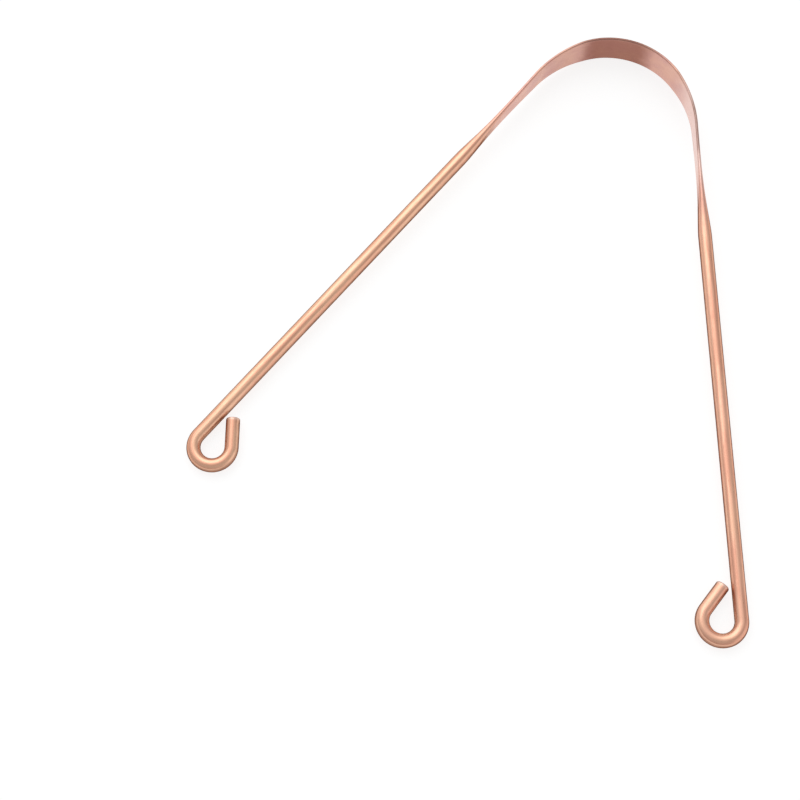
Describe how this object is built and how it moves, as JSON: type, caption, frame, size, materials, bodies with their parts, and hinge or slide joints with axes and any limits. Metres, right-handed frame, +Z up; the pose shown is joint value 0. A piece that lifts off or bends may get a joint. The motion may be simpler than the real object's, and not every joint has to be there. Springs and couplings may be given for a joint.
{
  "type": "tongue scraper",
  "caption": "Springy U-shaped tongue scraper bent from copper wire, with a flat rolled blade across its bow, round spreading arms and an open eye at each end.",
  "frame": {"origin": "middle of the footprint, on the surface that the scraper lies on", "axes": "+Z up from that surface; +Y from the eyes towards the blade; +X to the right arm, seen from above with the blade away from the viewer"},
  "size_m": [0.123, 0.124, 0.0088],
  "materials": {
    "rolled_copper": "satin, rolled and polished along the band",
    "drawn_copper": "satin, with faint drawing lines along the wire"
  },
  "bodies": {
    "bow": {"blade": "rolled_copper", "left_shoulder": "rolled_copper", "right_shoulder": "rolled_copper"},
    "left_side": {"left_neck": "drawn_copper", "left_arm": "drawn_copper", "left_eye": "drawn_copper"},
    "right_side": {"right_neck": "drawn_copper", "right_arm": "drawn_copper", "right_eye": "drawn_copper"}
  },
  "joints": [
    {"name": "left_arm_flex", "type": "hinge", "parent": "bow", "child": "left_side", "pos_m": [-0.01553, 0.0532, 0.00424], "axis": [0, -0.0241, 0.9997], "range_deg": [-7, 7], "stiffness_Nm_per_rad": 0.6, "deforming": ["left_shoulder"]},
    {"name": "right_arm_flex", "type": "hinge", "parent": "bow", "child": "right_side", "pos_m": [0.01553, 0.0532, 0.00424], "axis": [0, 0.0241, -0.9997], "range_deg": [-7, 7], "stiffness_Nm_per_rad": 0.6, "deforming": ["right_shoulder"]}
  ]
}
